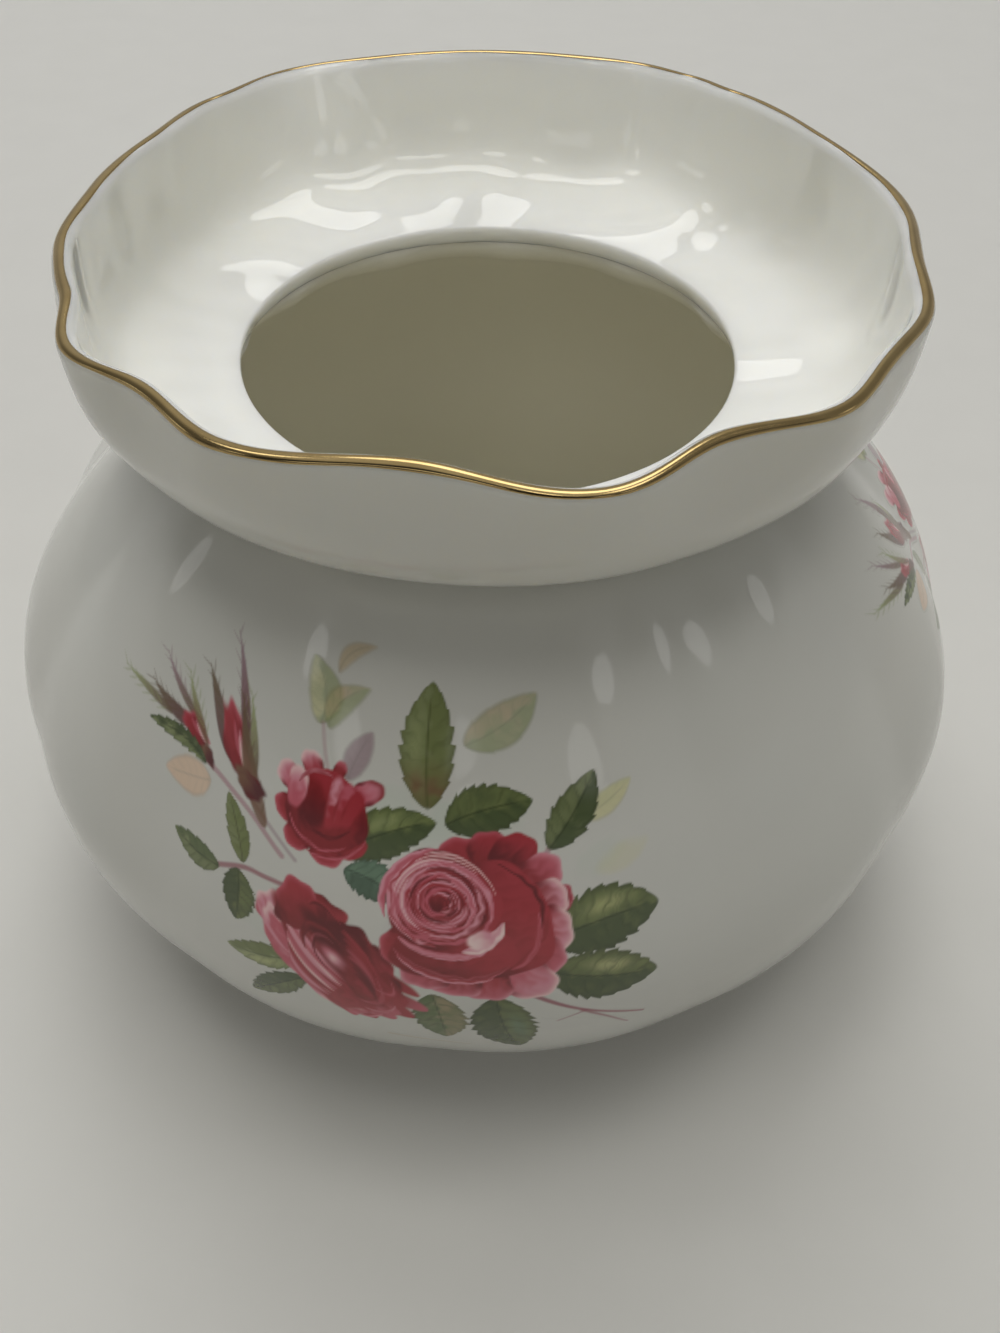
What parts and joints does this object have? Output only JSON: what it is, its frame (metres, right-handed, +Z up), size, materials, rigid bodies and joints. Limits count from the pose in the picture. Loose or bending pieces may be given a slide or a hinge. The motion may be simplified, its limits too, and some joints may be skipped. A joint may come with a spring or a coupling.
{
  "type": "bone china vase",
  "caption": "Squat bone china vase with a melon-lobed bowl, a pinched cup-shaped mouth, a gold edge and rose sprays, for cut flowers or a posy.",
  "frame": {"origin": "middle of the plane that the foot ring rests on", "axes": "+Z up along the axis of the throat and the foot ring, -Y towards the front rose spray, +X to the right of it"},
  "size_m": [0.1226, 0.1226, 0.0938],
  "materials": {
    "glazed_bone_china": "clear glossy glaze over slip-cast bone china",
    "foot_bone_china": "glazed bone china, wiped and polished on the resting edge",
    "fired_gold": "thin burnished gold fired on the lip",
    "rose_enamels": "printed on-glaze enamels in crimson, pink and leaf green, fired glossy"
  },
  "bodies": {
    "root": {"bowl": "glazed_bone_china", "mouth_collar": "glazed_bone_china", "foot_ring": "foot_bone_china", "gilt_edge": "fired_gold", "rose_transfer_front": "rose_enamels", "rose_transfer_right": "rose_enamels", "rose_transfer_left": "rose_enamels"}
  },
  "joints": []
}
